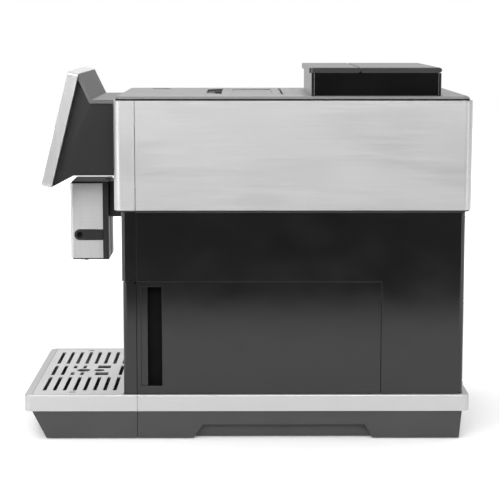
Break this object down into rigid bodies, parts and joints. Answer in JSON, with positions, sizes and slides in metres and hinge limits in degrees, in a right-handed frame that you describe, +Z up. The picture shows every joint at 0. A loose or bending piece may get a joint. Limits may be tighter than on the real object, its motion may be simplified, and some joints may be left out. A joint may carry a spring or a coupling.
{
  "type": "automatic coffee machine",
  "caption": "Bean-to-cup coffee machine with tilted screen, height-adjustable spout, pull-out drip drawer, side water tank and lidded bean hopper.",
  "frame": {"origin": "on the table, under the middle of the bounding box", "axes": "+Z up, the cup side with screen and spout faces -Y, the water tank door is on +X"},
  "size_m": [0.24, 0.45, 0.374],
  "materials": {
    "brushed_steel": "fine horizontal brushing",
    "spout_silver": "satin silver",
    "silver_lacquer": "silver lacquer",
    "plate_silver": "darker silver lacquer",
    "lid_smoke": "smoked gloss",
    "piano_black": "glossy",
    "hopper_black": "smoked gloss",
    "display_black": "fine satin",
    "grey_plastic": "fine texture",
    "screen_glass": "black glass",
    "base_plastic": "fine texture",
    "inner_black": "molded",
    "inner_grey": "molded",
    "rubber_black": "matt",
    "clear_plastic": "clear smoked plastic",
    "bright_steel": "bright",
    "aluminium_cast": "cast",
    "gear_white": "molded",
    "hose_white": "silicone",
    "board_green": "solder mask"
  },
  "bodies": {
    "root": {"base_tray": "base_plastic", "rubber_feet": "rubber_black", "rim_rear": "silver_lacquer", "chassis_frame": "inner_black", "mid_deck": "inner_black", "top_deck": "inner_black", "tank_bay": "inner_black", "side_panel_left": "piano_black", "side_panel_right": "piano_black", "rear_panel": "piano_black", "panel_screws": "bright_steel", "upper_front_panel": "piano_black", "steel_front_band": "brushed_steel", "steel_wrap": "brushed_steel", "top_plate": "plate_silver", "display_bezel": "spout_silver", "display_glass": "screen_glass", "display_panel": "inner_grey", "display_housing": "display_black", "display_cover": "grey_plastic", "spout_guide": "display_black", "bean_hopper": "hopper_black", "lid_hinge_pins": "bright_steel", "grinder_housing": "inner_black", "upper_burr": "bright_steel", "grinder_motor": "bright_steel", "coffee_chute": "inner_black", "brew_frame": "inner_grey", "brew_cylinder": "inner_black", "brew_motor": "inner_grey", "pump": "inner_grey", "suction_hose": "hose_white", "pressure_hose": "hose_white", "boiler": "aluminium_cast", "control_board": "board_green", "power_inlet": "inner_black"},
    "spout": {"spout_shell": "spout_silver", "spout_core": "display_black", "spout_nozzles": "bright_steel"},
    "drawer": {"drip_tray": "base_plastic", "drip_rim": "silver_lacquer", "drawer_front": "piano_black", "grounds_container": "inner_black"},
    "grid": {"drip_grid": "brushed_steel"},
    "float": {"tray_float": "inner_black"},
    "tank": {"tank_door": "piano_black", "water_tank": "clear_plastic", "tank_lid": "clear_plastic", "tank_valve": "inner_grey"},
    "hopper_lid": {"hopper_lid": "lid_smoke", "flap_hinge_pins": "bright_steel"},
    "hopper_flap": {"hopper_flap": "lid_smoke"},
    "powder_lid": {"powder_lid": "plate_silver"},
    "power_button": {"power_button": "plate_silver"},
    "power_switch": {"power_switch": "inner_black"},
    "burr": {"lower_burr": "bright_steel", "grinder_gear": "gear_white"},
    "motor_pinion": {"motor_pinion": "bright_steel"},
    "brew_piston": {"brew_piston": "inner_grey"},
    "brew_screw": {"brew_screw": "bright_steel"}
  },
  "joints": [
    {"name": "spout_height", "type": "slide", "parent": "root", "child": "spout", "axis": [0, 0, 1], "range_m": [-0.007, 0.006]},
    {"name": "drawer_slide", "type": "slide", "parent": "root", "child": "drawer", "axis": [0, -1, 0], "range_m": [0, 0.17]},
    {"name": "grid_lift", "type": "slide", "parent": "drawer", "child": "grid", "axis": [0, 0, 1], "range_m": [0, 0.06]},
    {"name": "float_rise", "type": "slide", "parent": "drawer", "child": "float", "axis": [0, 0, 1], "range_m": [0, 0.006]},
    {"name": "tank_slide", "type": "slide", "parent": "root", "child": "tank", "axis": [1, 0, 0], "range_m": [0, 0.12]},
    {"name": "hopper_lid_hinge", "type": "hinge", "parent": "root", "child": "hopper_lid", "pos_m": [0, 0.1914, 0.3714], "axis": [-1, 0, 0], "range_deg": [0, 75]},
    {"name": "hopper_flap_hinge", "type": "hinge", "parent": "hopper_lid", "child": "hopper_flap", "pos_m": [0, 0.111, 0.3716], "axis": [-1, 0, 0], "range_deg": [0, 90]},
    {"name": "powder_lid_hinge", "type": "hinge", "parent": "root", "child": "powder_lid", "pos_m": [-0.0165, 0.0344, 0.3433], "axis": [-1, 0, 0], "range_deg": [0, 95]},
    {"name": "power_button_press", "type": "slide", "parent": "root", "child": "power_button", "axis": [0, 0, -1], "range_m": [0, 0.0015], "stiffness_N_per_m": 300},
    {"name": "mains_rocker", "type": "hinge", "parent": "root", "child": "power_switch", "pos_m": [-0.024, 0.214, 0.072], "axis": [-1, 0, 0], "range_deg": [0, 10]},
    {"name": "burr_spin", "type": "hinge", "parent": "root", "child": "burr", "pos_m": [0, 0.125, 0.28], "axis": [0, 0, 1], "continuous": true},
    {"name": "pinion_spin", "type": "hinge", "parent": "root", "child": "motor_pinion", "pos_m": [0, 0.1569, 0.25], "axis": [0, 0, 1], "continuous": true},
    {"name": "brew_piston_lift", "type": "slide", "parent": "root", "child": "brew_piston", "axis": [0, 0, 1], "range_m": [0, 0.03]},
    {"name": "brew_screw_turn", "type": "hinge", "parent": "root", "child": "brew_screw", "pos_m": [-0.008, 0.072, 0.09], "axis": [0, 0, 1], "range_deg": [0, 1351]}
  ],
  "couplings": [
    {"joint": "pinion_spin", "follows": "burr_spin", "ratio": -3.0769},
    {"joint": "brew_screw_turn", "follows": "brew_piston_lift", "rad_per_m": 785.4}
  ]
}
